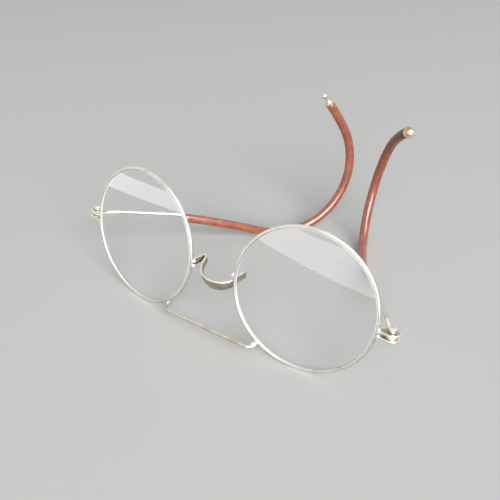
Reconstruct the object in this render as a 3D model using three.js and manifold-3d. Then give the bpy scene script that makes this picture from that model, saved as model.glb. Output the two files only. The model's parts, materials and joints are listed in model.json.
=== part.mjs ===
// Windsor eyeglasses: two round wire rims with lenses, a saddle bridge, a brow bar and two
// cable temples that fold on the screws which also close the rims.
// The glasses lie upside down on a table, as they are put down to spare the lenses: the front
// faces -Y, the temples run towards +Y and their ear hooks stand up. Millimetres and degrees.

import * as THREE from 'three';
import { mergeVertices } from 'three/addons/utils/BufferGeometryUtils.js';
import loadManifold from 'manifold-3d';

const wasm = await loadManifold();
wasm.setup();

// Eye wire and lenses
const RIM_RADIUS = 22.5; // lens centre to the middle of the eye wire
const RIM_WIDTH = 1.05; // eye wire along the radius
const RIM_DEPTH = 1.2; // eye wire front to back
const GROOVE_WIDTH = 0.6; // lens groove at the lips of the wire
const GROOVE_DEPTH = 0.36; // lens groove, lip to bottom
const LENS_DISTANCE = 61.4; // between the two lens centres
const LENS_EDGE = 1.1; // lens thickness at its rim
const LENS_FRONT_RADIUS = { left: 450, right: 300 }; // convex fronts; the backs are flat
const FACE_FORM = 6.9; // each rim turns back at the temple side
const LEAN = 9.6; // the front leans back over the table
const SEAT_GAP = 0.06; // every bedded, soldered or threaded joint

// End pieces and hinges
const SPLIT_HEIGHT = { left: -1.4, right: -2.5 }; // rim split and hinge, from the lens centre
const SPLIT_GAP = 0.3; // open slit between the two rim ends
const PIVOT_OUT = { left: 4, right: 3.3 }; // outside of the eye wire to the hinge screw
const PIVOT_BACK = { left: 2.1, right: 1.3 }; // middle of the eye wire back to the hinge screw
const LUG_RADIUS = 2.4; // eye of an end piece lug
const LUG_NECK = 0.65; // half the width of a lug at the eye wire
const LUG_HEIGHT = 0.7;
const TONGUE_HEIGHT = 0.85; // temple tongue between the two lugs
const TONGUE_RADIUS = 1.9;
const TONGUE_NECK = 0.55; // half the width of the tongue where the butt begins
const HINGE_GAP = 0.08; // play above, below and around the screw
const SCREW_RADIUS = 0.6;
const SCREW_TAIL = 0.25; // screw end below the lower lug
const HEAD_RADIUS = 1.2;
const HEAD_WALL = 0.95; // straight side of the screw head
const HEAD_DOME = 0.5; // low dome on top of it

// Saddle bridge
const SADDLE_THICKNESS = 0.75;
const SADDLE_WIDTH = 4.2; // strip at the crest, across the nose
const FOOT_WIDTH = 2.3; // strip at the feet
const FOOT_HEIGHT = -1.0; // middle of the feet, from the lens centres
const LEG_HEIGHT = -1.6; // middle of the strip where the saddle starts from the fold
const LEG_BACK = 3.3; // how far behind the lens centres the strip folds round
const FOLD_RADIUS = 0.55; // middle of the strip round the fold
const CREST_FORWARD = 2.9; // crest in front of the lens centres
const CREST_HEIGHT = -5.2;

// Brow bar
const BROW_WIRE = 0.56; // radius of the wire
const BROW_SEAT = 34.5; // where its legs meet the rims, from the lowest point towards the nose
const BROW_HALF = { left: 16.3, right: 17.4 }; // middle of the bar to each bend
const BROW_FORWARD = 5.3; // bar in front of the lens centres
const BROW_BEND = 1.8; // how far before each corner the bend begins
const BROW_TAIL = 1.1; // leg ends behind the middle of the eye wire

// Temples
const BUTT_START = 3.6; // tongue to butt, from the hinge screw
const BUTT_END = 8.7; // butt to wire, from the hinge screw
const BUTT_RADIUS = 0.64;
const WIRE_RADIUS = 0.54;
const COVER_START = 22.5; // bare wire between the butt and the cover
const COVER_RADIUS = 1.65;
const BOW_LENGTH = { left: 53.9, right: 48.6 }; // straight part, very slightly bowed
const BOW_RADIUS = { left: 351, right: 4000 };
const HOOK_LENGTH = { left: 64, right: 66.9 }; // ear hooks, each bent by hand
const HOOK_RADIUS = { left: 26.6, right: 24 };
const TIP_LENGTH = { left: 11.4, right: 17.5 }; // nearly straight end of each hook
const TIP_RADIUS = { left: 82, right: 73 };
const FOLD = { left: 38.7, right: 32.4 }; // how far each temple is folded in
const HOOK_LEAN = { left: 2.4, right: 6.8 }; // each hook leans outwards
const FLANGE_RADIUS = 1.85; // rim of the ferrule against the end of the cover
const FLANGE_LENGTH = 0.45;
const FERRULE_NECK = 0.85; // small end of the ferrule
const FERRULE_LENGTH = 1.3;
const TIP_WIRE = 0.5; // bare wire between the ferrule and the knob
const KNOB_RADIUS = 1.1;
const KNOB_FLARE = 1.2; // knob from the wire to its widest place

// Facets
const RIM_FACETS = 60;
const WIRE_SIDES = 8;
const COVER_SIDES = 10;
const ROUND_FACETS = 20;

const radians = THREE.MathUtils.degToRad;
const SIDES = { left: -1, right: 1 };
const rimOutside = RIM_RADIUS + RIM_WIDTH / 2;
const rimInside = RIM_RADIUS - RIM_WIDTH / 2;
const faceForm = radians(FACE_FORM);

const FINISHES = {
  nickel: { color: 0xc8c6be, roughness: 0.32, metalness: 1 },
  warmNickel: { color: 0xcabf9c, roughness: 0.34, metalness: 1 },
  glass: { color: 0xeef2f1, roughness: 0.04, metalness: 0, transparent: true, opacity: 0.25 },
  cover: { color: 0x8c3a26, roughness: 0.34, metalness: 0 },
};

function piece(name, geometry, finish) {
  const mesh = new THREE.Mesh(geometry, new THREE.MeshStandardMaterial(FINISHES[finish]));
  mesh.name = name;
  return mesh;
}

// Joining and cutting of closed shapes

function toManifold(geometry) {
  const bare = geometry.clone();
  bare.deleteAttribute('normal');
  bare.deleteAttribute('uv');
  const merged = mergeVertices(bare, 1e-4);
  return new wasm.Manifold(new wasm.Mesh({
    numProp: 3,
    vertProperties: new Float32Array(merged.attributes.position.array),
    triVerts: new Uint32Array(merged.index.array),
  }));
}

function toGeometry(body) {
  const mesh = body.getMesh();
  const geometry = new THREE.BufferGeometry();
  geometry.setAttribute('position', new THREE.BufferAttribute(mesh.vertProperties, 3));
  geometry.setIndex(new THREE.BufferAttribute(mesh.triVerts, 1));
  geometry.computeVertexNormals();
  return geometry;
}

const cut = (geometry, tool) => toGeometry(toManifold(geometry).subtract(toManifold(tool)));
const join = (first, second) => toGeometry(toManifold(first).add(toManifold(second)));

// Sections and outlines

function circlePoints(radius, sides) {
  return Array.from({ length: sides }, (_, side) => {
    const angle = (2 * Math.PI * side) / sides;
    return new THREE.Vector2(radius * Math.cos(angle), radius * Math.sin(angle));
  });
}

function circleShape(radius, sides, bore) {
  const shape = new THREE.Shape(circlePoints(radius, sides));
  if (bore) shape.holes.push(new THREE.Path(circlePoints(bore, WIRE_SIDES)));
  return shape;
}

// An eye round the origin that narrows, tangent by tangent, to a small round end on +X
function eyeShape(eyeRadius, endRadius, length, bore) {
  const flank = Math.acos((eyeRadius - endRadius) / length);
  const shape = new THREE.Shape();
  shape.absarc(0, 0, eyeRadius, flank, 2 * Math.PI - flank);
  shape.absarc(length, 0, endRadius, -flank, flank);
  shape.holes.push(new THREE.Path(circlePoints(bore, ROUND_FACETS)));
  return shape;
}

function plate(shape, height) {
  const geometry = new THREE.ExtrudeGeometry(shape, {
    depth: height, bevelEnabled: false, curveSegments: ROUND_FACETS / 2,
  });
  return geometry.translate(0, 0, -height / 2);
}

function sweep(shape, extrudePath, spacing) {
  const steps = Math.ceil(extrudePath.getLength() / spacing);
  return new THREE.ExtrudeGeometry(shape, { extrudePath, steps });
}

// Rims: the eye wire is a grooved ring, slit at the temple side where the hinge screw closes it

function rimGeometry(name) {
  const lip = Math.acos(GROOVE_WIDTH / RIM_DEPTH) + Math.PI / 2;
  const outerPoints = 8;
  const section = [];
  for (let step = 0; step <= outerPoints; step += 1) {
    const angle = lip * ((2 * step) / outerPoints - 1);
    const radius = RIM_RADIUS + (RIM_WIDTH / 2) * Math.cos(angle);
    section.push(new THREE.Vector2(radius, (RIM_DEPTH / 2) * Math.sin(angle)));
  }
  section.push(new THREE.Vector2(section[0].x + GROOVE_DEPTH, 0));
  section.push(section[0].clone());
  const ring = new THREE.LatheGeometry(section, RIM_FACETS);
  const slit = new THREE.BoxGeometry(RIM_WIDTH * 4, RIM_DEPTH * 4, SPLIT_GAP);
  slit.translate(SIDES[name] * RIM_RADIUS, 0, SPLIT_HEIGHT[name]);
  return cut(ring, slit);
}

// Lenses: convex in front, flat behind, with a bevel that stands in the groove of the eye wire

function lensGeometry(name) {
  const frontRadius = LENS_FRONT_RADIUS[name];
  const lipRadius = RIM_RADIUS + (RIM_WIDTH / 2) * -Math.sqrt(1 - (GROOVE_WIDTH / RIM_DEPTH) ** 2);
  const edgeRadius = rimInside - SEAT_GAP;
  const bevelRadius = lipRadius + GROOVE_DEPTH - 2 * SEAT_GAP;
  const bevelHalf = GROOVE_WIDTH / 2 - SEAT_GAP;
  const sag = (radius) => frontRadius - Math.sqrt(frontRadius ** 2 - radius ** 2);
  const rings = 4;
  const profile = [];
  for (let ring = 0; ring <= rings; ring += 1) {
    const radius = (edgeRadius * ring) / rings;
    profile.push(new THREE.Vector2(radius, sag(radius) - sag(edgeRadius) - LENS_EDGE / 2));
  }
  profile.push(new THREE.Vector2(edgeRadius, -bevelHalf));
  profile.push(new THREE.Vector2(bevelRadius, 0));
  profile.push(new THREE.Vector2(edgeRadius, bevelHalf));
  profile.push(new THREE.Vector2(edgeRadius, LENS_EDGE / 2));
  profile.push(new THREE.Vector2(0, LENS_EDGE / 2));
  return new THREE.LatheGeometry(profile, RIM_FACETS);
}

// End piece lugs: one soldered to each rim end, an eye for the hinge screw

const lugLevel = TONGUE_HEIGHT / 2 + HINGE_GAP + LUG_HEIGHT / 2;
const screwBore = SCREW_RADIUS + HINGE_GAP;

function pivotOf(name) {
  const out = SIDES[name] * (rimOutside + PIVOT_OUT[name]);
  return new THREE.Vector3(out, PIVOT_BACK[name], SPLIT_HEIGHT[name]);
}

function lugGeometry(name, level) {
  const pivot = pivotOf(name);
  const toRim = new THREE.Vector2(SIDES[name] * RIM_RADIUS - pivot.x, -pivot.y);
  const lug = plate(eyeShape(LUG_RADIUS, LUG_NECK, toRim.length(), screwBore), LUG_HEIGHT);
  lug.rotateZ(toRim.angle());
  lug.translate(pivot.x, pivot.y, pivot.z + level);
  const ring = new THREE.CylinderGeometry(
    rimOutside + SEAT_GAP, rimOutside + SEAT_GAP, LUG_RADIUS * 4, RIM_FACETS,
  );
  return cut(lug, ring);
}

// Hinge screws: a low domed head on the upper lug, the shank through both lugs and the tongue

function screwGeometry() {
  const top = lugLevel + LUG_HEIGHT / 2 + HINGE_GAP;
  const bottom = -lugLevel - LUG_HEIGHT / 2 - SCREW_TAIL;
  const domePoints = 5;
  const profile = [
    new THREE.Vector2(0, bottom),
    new THREE.Vector2(SCREW_RADIUS, bottom),
    new THREE.Vector2(SCREW_RADIUS, top),
    new THREE.Vector2(HEAD_RADIUS, top),
  ];
  for (let step = 0; step <= domePoints; step += 1) {
    const angle = (Math.PI / 2) * (step / domePoints);
    const radius = step < domePoints ? HEAD_RADIUS * Math.cos(angle) : 0;
    profile.push(new THREE.Vector2(radius, top + HEAD_WALL + HEAD_DOME * Math.sin(angle)));
  }
  return new THREE.LatheGeometry(profile, ROUND_FACETS).rotateX(Math.PI / 2);
}

// Bridge: one flat strip, from a foot behind each rim back to a tight fold and round the nose

function bridgeStations() {
  const footX = LENS_DISTANCE / 2 - RIM_RADIUS * Math.cos(faceForm);
  const footFront = RIM_DEPTH / 2 + SEAT_GAP - RIM_RADIUS * Math.sin(faceForm);
  const legX = footX - 2 * FOLD_RADIUS;
  const slope = Math.atan2(LEG_HEIGHT - CREST_HEIGHT, LEG_BACK + CREST_FORWARD);
  const half = [];
  const add = (x, y, z, tilt, width) => {
    const broad = new THREE.Vector3(0, -Math.sin(tilt), Math.cos(tilt));
    half.push({ point: new THREE.Vector3(x, y, z), broad, width });
  };
  const archSteps = 9;
  for (let step = 0; step < archSteps; step += 1) {
    const angle = (Math.PI / 2) * (step / archSteps);
    const rise = Math.cos(angle);
    const y = LEG_BACK - (LEG_BACK + CREST_FORWARD) * rise;
    const z = LEG_HEIGHT + (CREST_HEIGHT - LEG_HEIGHT) * rise;
    add(legX * Math.sin(angle), y, z, slope, FOOT_WIDTH + (SADDLE_WIDTH - FOOT_WIDTH) * rise ** 2);
  }
  const foldSteps = 6;
  for (let step = 0; step <= foldSteps; step += 1) {
    const share = step / foldSteps;
    const angle = Math.PI * share;
    const x = legX + FOLD_RADIUS * (1 - Math.cos(angle));
    const y = LEG_BACK + FOLD_RADIUS * Math.sin(angle);
    add(x, y, THREE.MathUtils.lerp(LEG_HEIGHT, FOOT_HEIGHT, share), slope * (1 - share), FOOT_WIDTH);
  }
  add(footX, footFront, FOOT_HEIGHT, 0, FOOT_WIDTH);
  const mirrored = half.slice(1).reverse().map(({ point, broad, width }) => (
    { point: new THREE.Vector3(-point.x, point.y, point.z), broad, width }
  ));
  return [...mirrored, ...half];
}

// A closed strip of rounded section through a row of stations
function loftStrip(stations, thickness) {
  const corners = 10;
  const roundness = 0.6;
  const rounded = (value) => Math.sign(value) * Math.abs(value) ** roundness;
  const positions = [];
  stations.forEach(({ point, broad, width }, index) => {
    const before = stations[Math.max(index - 1, 0)].point;
    const after = stations[Math.min(index + 1, stations.length - 1)].point;
    const along = after.clone().sub(before).normalize();
    const across = broad.clone().cross(along).normalize();
    const up = along.clone().cross(across);
    for (let corner = 0; corner < corners; corner += 1) {
      const angle = (2 * Math.PI * corner) / corners;
      const vertex = point.clone();
      vertex.addScaledVector(across, (thickness / 2) * rounded(Math.cos(angle)));
      vertex.addScaledVector(up, (width / 2) * rounded(Math.sin(angle)));
      positions.push(...vertex.toArray());
    }
  });
  const faces = [];
  for (let ring = 0; ring < stations.length - 1; ring += 1) {
    for (let corner = 0; corner < corners; corner += 1) {
      const a = ring * corners + corner;
      const b = ring * corners + ((corner + 1) % corners);
      faces.push(a, b, b + corners, a, b + corners, a + corners);
    }
  }
  const last = (stations.length - 1) * corners;
  for (let corner = 1; corner < corners - 1; corner += 1) {
    faces.push(0, corner + 1, corner, last, last + corner, last + corner + 1);
  }
  const geometry = new THREE.BufferGeometry();
  geometry.setAttribute('position', new THREE.Float32BufferAttribute(positions, 3));
  geometry.setIndex(faces);
  geometry.computeVertexNormals();
  return geometry;
}

// Brow bar: a round wire across both rims, each end bent back and soldered beside its rim

function browBarGeometry() {
  const seat = radians(BROW_SEAT);
  const seatRadius = rimOutside + SEAT_GAP + BROW_WIRE / Math.cos(Math.PI / WIRE_SIDES);
  const towardsNose = seatRadius * Math.sin(seat);
  const legX = LENS_DISTANCE / 2 - towardsNose * Math.cos(faceForm);
  const legY = -towardsNose * Math.sin(faceForm) + BROW_TAIL;
  const level = -seatRadius * Math.cos(seat);
  const halfBar = (name) => {
    const side = SIDES[name];
    const tail = new THREE.Vector3(side * legX, legY, level);
    const corner = new THREE.Vector3(side * BROW_HALF[name], -BROW_FORWARD, level);
    const onLeg = corner.clone().add(tail.clone().sub(corner).setLength(BROW_BEND));
    const onBar = corner.clone().setX(side * (BROW_HALF[name] - BROW_BEND));
    return { tail, corner, onLeg, onBar };
  };
  const left = halfBar('left');
  const right = halfBar('right');
  const line = new THREE.CurvePath();
  line.add(new THREE.LineCurve3(left.tail, left.onLeg));
  line.add(new THREE.QuadraticBezierCurve3(left.onLeg, left.corner, left.onBar));
  line.add(new THREE.LineCurve3(left.onBar, right.onBar));
  line.add(new THREE.QuadraticBezierCurve3(right.onBar, right.corner, right.onLeg));
  line.add(new THREE.LineCurve3(right.onLeg, right.tail));
  return sweep(circleShape(BROW_WIRE, WIRE_SIDES), line, BROW_BEND / 2);
}

// Temples: the line of the wire lies in its own plane, along +Y with the ear hook towards +Z

class TempleLine extends THREE.Curve {
  constructor(name, from, to) {
    super();
    this.from = from;
    this.to = to;
    this.stretches = [
      { length: BOW_LENGTH[name], bend: -1 / BOW_RADIUS[name] },
      { length: HOOK_LENGTH[name], bend: 1 / HOOK_RADIUS[name] },
      { length: Infinity, bend: 1 / TIP_RADIUS[name] },
    ];
  }

  getPoint(t, target = new THREE.Vector3()) {
    let left = THREE.MathUtils.lerp(this.from, this.to, t);
    let heading = 0;
    target.set(0, 0, 0);
    for (const { length, bend } of this.stretches) {
      const run = Math.min(left, length);
      const turned = heading + bend * run;
      target.y += (Math.sin(turned) - Math.sin(heading)) / bend;
      target.z += (Math.cos(heading) - Math.cos(turned)) / bend;
      heading = turned;
      left -= run;
    }
    return target;
  }
}

// Tongue between the lugs and the tapered butt that holds the wire, forged in one
function jointGeometry() {
  const outline = eyeShape(TONGUE_RADIUS, TONGUE_NECK, BUTT_START + BUTT_RADIUS, screwBore);
  const tongue = plate(outline, TONGUE_HEIGHT);
  tongue.rotateZ(Math.PI / 2);
  const shoulder = BUTT_RADIUS - WIRE_RADIUS;
  const butt = new THREE.LatheGeometry([
    new THREE.Vector2(0, BUTT_START),
    new THREE.Vector2(TONGUE_HEIGHT / 2, BUTT_START),
    new THREE.Vector2(BUTT_RADIUS, BUTT_START + BUTT_RADIUS),
    new THREE.Vector2(BUTT_RADIUS, BUTT_END - shoulder),
    new THREE.Vector2(WIRE_RADIUS, BUTT_END),
    new THREE.Vector2(0, BUTT_END),
  ], ROUND_FACETS);
  return join(tongue, butt);
}

// Places a piece that is turned about +Y at a point of the temple line, along the line
function onLine(mesh, line, t) {
  line.getPointAt(t, mesh.position);
  mesh.quaternion.setFromUnitVectors(new THREE.Vector3(0, 1, 0), line.getTangentAt(t));
  return mesh;
}

function ferruleGeometry() {
  const bore = (WIRE_RADIUS + SEAT_GAP) / Math.cos(Math.PI / ROUND_FACETS);
  const shoulder = (FLANGE_RADIUS + FERRULE_NECK) / 2;
  return new THREE.LatheGeometry([
    new THREE.Vector2(bore, 0),
    new THREE.Vector2(FLANGE_RADIUS, 0),
    new THREE.Vector2(FLANGE_RADIUS, FLANGE_LENGTH),
    new THREE.Vector2(shoulder, FLANGE_LENGTH),
    new THREE.Vector2(FERRULE_NECK, FERRULE_LENGTH),
    new THREE.Vector2(bore, FERRULE_LENGTH),
    new THREE.Vector2(bore, 0),
  ], ROUND_FACETS);
}

// The knob flares from the thickness of the wire, to which it is brazed, to a round end
function knobGeometry() {
  const flarePoints = 4;
  const roundPoints = 5;
  const profile = [new THREE.Vector2(0, 0)];
  for (let step = 0; step < flarePoints; step += 1) {
    const share = step / flarePoints;
    const swell = (1 - Math.cos(Math.PI * share)) / 2;
    const radius = WIRE_RADIUS + (KNOB_RADIUS - WIRE_RADIUS) * swell;
    profile.push(new THREE.Vector2(radius, KNOB_FLARE * share));
  }
  for (let step = 0; step <= roundPoints; step += 1) {
    const angle = (Math.PI / 2) * (step / roundPoints);
    const radius = step < roundPoints ? KNOB_RADIUS * Math.cos(angle) : 0;
    profile.push(new THREE.Vector2(radius, KNOB_FLARE + KNOB_RADIUS * Math.sin(angle)));
  }
  return new THREE.LatheGeometry(profile, ROUND_FACETS);
}

function temple(name) {
  const side = SIDES[name];
  const hinge = new THREE.Group();
  hinge.position.copy(pivotOf(name));
  hinge.rotation.z = side * (radians(FOLD[name]) - faceForm);
  hinge.add(piece(`temple_joint_${name}`, jointGeometry(), 'warmNickel'));

  const arm = new THREE.Group();
  arm.position.y = BUTT_END + SEAT_GAP;
  arm.rotation.y = side * radians(HOOK_LEAN[name]);
  const coverEnd = BOW_LENGTH[name] + HOOK_LENGTH[name] + TIP_LENGTH[name];
  const wireEnd = coverEnd + SEAT_GAP + FERRULE_LENGTH + TIP_WIRE;
  const wireLine = new TempleLine(name, 0, wireEnd);
  const coverLine = new TempleLine(name, COVER_START, coverEnd);
  const bore = (WIRE_RADIUS + SEAT_GAP) / Math.cos(Math.PI / WIRE_SIDES);
  const spacing = 2 * COVER_RADIUS;
  const wireSection = circleShape(WIRE_RADIUS, WIRE_SIDES);
  const coverSection = circleShape(COVER_RADIUS, COVER_SIDES, bore);
  arm.add(piece(`temple_wire_${name}`, sweep(wireSection, wireLine, spacing), 'nickel'));
  arm.add(piece(`temple_cover_${name}`, sweep(coverSection, coverLine, spacing), 'cover'));
  const ferrule = piece(`tip_ferrule_${name}`, ferruleGeometry(), 'warmNickel');
  arm.add(onLine(ferrule, wireLine, (coverEnd + SEAT_GAP) / wireEnd));
  const knob = piece(`tip_ball_${name}`, knobGeometry(), 'nickel');
  onLine(knob, wireLine, 1);
  knob.translateY(SEAT_GAP);
  arm.add(knob);
  hinge.add(arm);
  return { hinge, arm };
}

// One side of the front, about its lens centre
function eye(name) {
  const side = SIDES[name];
  const group = new THREE.Group();
  group.position.x = (side * LENS_DISTANCE) / 2;
  group.rotation.z = side * faceForm;
  group.add(piece(`rim_${name}`, rimGeometry(name), 'nickel'));
  group.add(piece(`lens_${name}`, lensGeometry(name), 'glass'));
  group.add(piece(`lug_upper_${name}`, lugGeometry(name, lugLevel), 'warmNickel'));
  group.add(piece(`lug_lower_${name}`, lugGeometry(name, -lugLevel), 'warmNickel'));
  const screw = piece(`hinge_screw_${name}`, screwGeometry(), 'nickel');
  screw.position.copy(pivotOf(name));
  group.add(screw);
  return group;
}

const boxOf = (object) => new THREE.Box3().setFromObject(object, true);

// The front first, leaning back with both rims on the table
const glasses = new THREE.Group();
glasses.rotation.x = -radians(LEAN);
const eyes = { left: eye('left'), right: eye('right') };
glasses.add(eyes.left, eyes.right);
glasses.add(piece('saddle_bridge', loftStrip(bridgeStations(), SADDLE_THICKNESS), 'warmNickel'));
glasses.add(piece('brow_bar', browBarGeometry(), 'nickel'));
glasses.updateMatrixWorld(true);
glasses.position.z = -boxOf(glasses).min.z;

// Then each temple, drooping until its bend lies on the table beside the rims
for (const name of Object.keys(SIDES)) {
  const { hinge, arm } = temple(name);
  eyes[name].add(hinge);
  const settlingPasses = 12;
  for (let pass = 0; pass < settlingPasses; pass += 1) {
    glasses.updateMatrixWorld(true);
    arm.rotation.x -= boxOf(arm).min.z / (BOW_LENGTH[name] + HOOK_RADIUS[name]);
  }
}

// The origin is under the middle of the glasses, on the table
glasses.updateMatrixWorld(true);
const middle = boxOf(glasses).getCenter(new THREE.Vector3());
glasses.position.x -= middle.x;
glasses.position.y -= middle.y;

export default glasses;
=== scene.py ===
# Windsor eyeglasses, put down upside down: round nickel silver rims with clear lenses, a saddle
# bridge, a brow bar and two cable temples in glossy rust-red covers.
# Sizes are in millimetres and degrees; a mesh is scaled to metres when it is put in its place.
# Only the studio at the end is laid out in metres.

import json
import math

import bmesh
import bpy
from mathutils import Matrix, Vector


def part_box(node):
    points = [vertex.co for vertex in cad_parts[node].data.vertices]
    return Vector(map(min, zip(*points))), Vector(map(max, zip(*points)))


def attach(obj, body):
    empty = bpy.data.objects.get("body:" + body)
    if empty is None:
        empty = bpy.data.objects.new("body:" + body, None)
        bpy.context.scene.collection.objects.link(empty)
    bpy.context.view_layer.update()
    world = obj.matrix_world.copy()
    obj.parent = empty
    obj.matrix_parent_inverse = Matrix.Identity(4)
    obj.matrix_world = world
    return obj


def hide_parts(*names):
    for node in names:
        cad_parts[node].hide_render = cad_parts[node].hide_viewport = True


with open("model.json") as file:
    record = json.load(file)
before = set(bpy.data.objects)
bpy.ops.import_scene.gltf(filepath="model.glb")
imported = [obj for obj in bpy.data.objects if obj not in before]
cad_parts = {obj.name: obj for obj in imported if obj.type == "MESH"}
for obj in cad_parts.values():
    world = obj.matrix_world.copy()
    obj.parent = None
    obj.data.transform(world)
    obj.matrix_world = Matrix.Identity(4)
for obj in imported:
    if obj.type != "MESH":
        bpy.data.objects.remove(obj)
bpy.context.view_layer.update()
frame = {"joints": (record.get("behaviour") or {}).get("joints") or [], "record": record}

# Rims: each is one length of grooved nickel silver wire, drawn, polished and rolled into a ring
# round its lens. Its ends stay open at the temple side, where the hinge screw draws them together.

MM = 0.001
SIDES = {"left": -1, "right": 1}
RIM_RADIUS = 22.5
RIM_WIDTH = 1.05
RIM_DEPTH = 1.2
GROOVE_WIDTH = 0.6
GROOVE_DEPTH = 0.36
SPLIT_HEIGHT = {"left": -1.4, "right": -2.5}
SPLIT_GAP = 0.3
RIM_STEPS = 144
RIM_SECTION_STEPS = 36
NICKEL_POLISHED = (0.72, 0.715, 0.67, 1)
NICKEL_DULLED = (0.52, 0.505, 0.44, 1)
DULL_PATCH = 4.0
RUB_MARK = 0.35
RUB_DEPTH = 0.008


class Socket:
    """An output in a node tree; arithmetic with it adds Math nodes to the tree."""

    def __init__(self, graph, socket):
        self.graph = graph
        self.socket = socket

    def __add__(self, other):
        return self.graph.math("ADD", self, other)

    def __radd__(self, other):
        return self.graph.math("ADD", other, self)

    def __sub__(self, other):
        return self.graph.math("SUBTRACT", self, other)

    def __rsub__(self, other):
        return self.graph.math("SUBTRACT", other, self)

    def __mul__(self, other):
        return self.graph.math("MULTIPLY", self, other)

    def __rmul__(self, other):
        return self.graph.math("MULTIPLY", other, self)

    def __truediv__(self, other):
        return self.graph.math("DIVIDE", self, other)

    def __rtruediv__(self, other):
        return self.graph.math("DIVIDE", other, self)

    def __pow__(self, other):
        return self.graph.math("POWER", self, other)

    def __rpow__(self, other):
        return self.graph.math("POWER", other, self)

    def __abs__(self):
        return self.graph.math("ABSOLUTE", self)

    def beside(self, name):
        """Another output of the same node."""
        return Socket(self.graph, self.socket.node.outputs[name])


class Graph:
    """A shader or geometry tree as it is written."""

    def __init__(self, tree):
        self.tree = tree

    def add(self, kind, settings=None, sockets=None, output=0):
        """Adds a node: its settings first, then the values or links of its sockets."""
        node = self.tree.nodes.new(kind)
        for setting, value in (settings or {}).items():
            setattr(node, setting, value)
        for key, value in (sockets or {}).items():
            if isinstance(value, Socket):
                self.tree.links.new(value.socket, node.inputs[key])
            else:
                node.inputs[key].default_value = value
        return Socket(self, node.outputs[output]) if node.outputs else node

    def math(self, operation, *values):
        return self.add("ShaderNodeMath", {"operation": operation}, dict(enumerate(values)))

    def ramp(self, value, low, high):
        """0 below low, 1 above high, smooth between them."""
        edges = {"Value": value, "From Min": low, "From Max": high}
        return self.add("ShaderNodeMapRange", {"interpolation_type": "SMOOTHSTEP"}, edges)

    def mix(self, share, first, second):
        """A colour between two colours."""
        colours = {0: share, 6: first, 7: second}
        return self.add("ShaderNodeMix", {"data_type": "RGBA"}, colours, output=2)

    def cloud(self, place, size, detail=2.0):
        """Soft noise with spots of about this size in millimetres."""
        scales = {"Vector": place, "Scale": 1 / (size * MM), "Detail": detail}
        return self.add("ShaderNodeTexNoise", {}, scales)


def new_finish(name):
    """A material, its graph and its surface shader."""
    material = bpy.data.materials.new(name)
    material.use_nodes = True
    return material, Graph(material.node_tree), material.node_tree.nodes["Principled BSDF"]


def nickel_finish(name, polished, dulled, dull_from, dull_to, painted_reflection=None, sheen=0.25):
    """Polished nickel silver: hand-worn to dull, warmer patches, with fine rubbing marks.

    With a reflection colour, the faces that a mesh marks as flat are painted darker between bright
    edges, as a painted dark reflection.
    """
    material, graph, shader = new_finish(name)
    place = graph.add("ShaderNodeTexCoord", output="Object")
    dullness = graph.ramp(graph.cloud(place, DULL_PATCH, 4.0), dull_from, dull_to)
    rubbing = graph.cloud(place, RUB_MARK, 3.0)
    colour = graph.mix(dullness, polished, dulled)
    if painted_reflection:
        # Faces marked flat get the painted dark reflection colour.
        flat = graph.add("ShaderNodeAttribute", {"attribute_name": "flat"}, output="Fac")
        colour = graph.mix(flat * (0.7 + 0.3 * dullness), colour, painted_reflection)
    graph.tree.links.new(colour.socket, shader.inputs["Base Color"])
    roughness = sheen + 0.12 * dullness + 0.06 * rubbing
    graph.tree.links.new(roughness.socket, shader.inputs["Roughness"])
    marks = {"Height": rubbing, "Strength": 0.15, "Distance": RUB_DEPTH * MM}
    graph.tree.links.new(graph.add("ShaderNodeBump", {}, marks).socket, shader.inputs["Normal"])
    shader.inputs["Metallic"].default_value = 1.0
    return material


def new_shaping(name, inputs):
    """A Geometry Nodes tree with named inputs, and those inputs as sockets."""
    tree = bpy.data.node_groups.new(name, "GeometryNodeTree")
    tree.interface.new_socket("Geometry", in_out="INPUT", socket_type="NodeSocketGeometry")
    for label, kind in inputs.items():
        tree.interface.new_socket(label, in_out="INPUT", socket_type=f"NodeSocket{kind}")
    tree.interface.new_socket("Material", in_out="INPUT", socket_type="NodeSocketMaterial")
    tree.interface.new_socket("Geometry", in_out="OUTPUT", socket_type="NodeSocketGeometry")
    graph = Graph(tree)
    group = tree.nodes.new("NodeGroupInput")
    return graph, {socket.name: Socket(graph, socket) for socket in group.outputs}


def close_shaping(graph, geometry, material):
    """Ends a tree: smooth, realized and painted."""
    smooth = graph.add("GeometryNodeSetShadeSmooth", {}, {"Geometry": geometry})
    real = graph.add("GeometryNodeRealizeInstances", {}, {"Geometry": smooth})
    painted = graph.add("GeometryNodeSetMaterial", {}, {"Geometry": real, "Material": material})
    graph.add("NodeGroupOutput", {}, {"Geometry": painted})


def shaped(graph, mesh, values):
    """The plain mesh that a tree makes of a mesh, with the tree's inputs set to these values."""
    carrier = bpy.data.objects.new(mesh.name, mesh)
    bpy.context.scene.collection.objects.link(carrier)
    modifier = carrier.modifiers.new(graph.tree.name, "NODES")
    modifier.node_group = graph.tree
    for item in graph.tree.interface.items_tree:
        if item.name in values:
            modifier[item.identifier] = values[item.name]
    depsgraph = bpy.context.evaluated_depsgraph_get()
    result = bpy.data.meshes.new_from_object(carrier.evaluated_get(depsgraph), depsgraph=depsgraph)
    carrier.modifiers.remove(modifier)
    bpy.data.objects.remove(carrier)
    return result


def fit(name, mesh, place, body, slot, *nodes):
    """Puts a mesh in its place as a finished piece that stands for its solids."""
    mesh.transform(place)
    piece = bpy.data.objects.new(name, mesh)
    bpy.context.scene.collection.objects.link(piece)
    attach(piece, body)
    if nodes:
        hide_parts(*nodes)
    return piece


hinges = {joint["child"]: joint for joint in frame["joints"]}
upright = Vector(hinges["right_temple"]["axis"])


def axes_at(origin, back):
    """Millimetres to metres: X to the right, Y back along this direction and Z up the front."""
    right = back.cross(upright).normalized()
    turn = Matrix((right, upright.cross(right), upright)).transposed().to_4x4()
    return Matrix.Translation(origin) @ turn @ Matrix.Scale(MM, 4)


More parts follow.
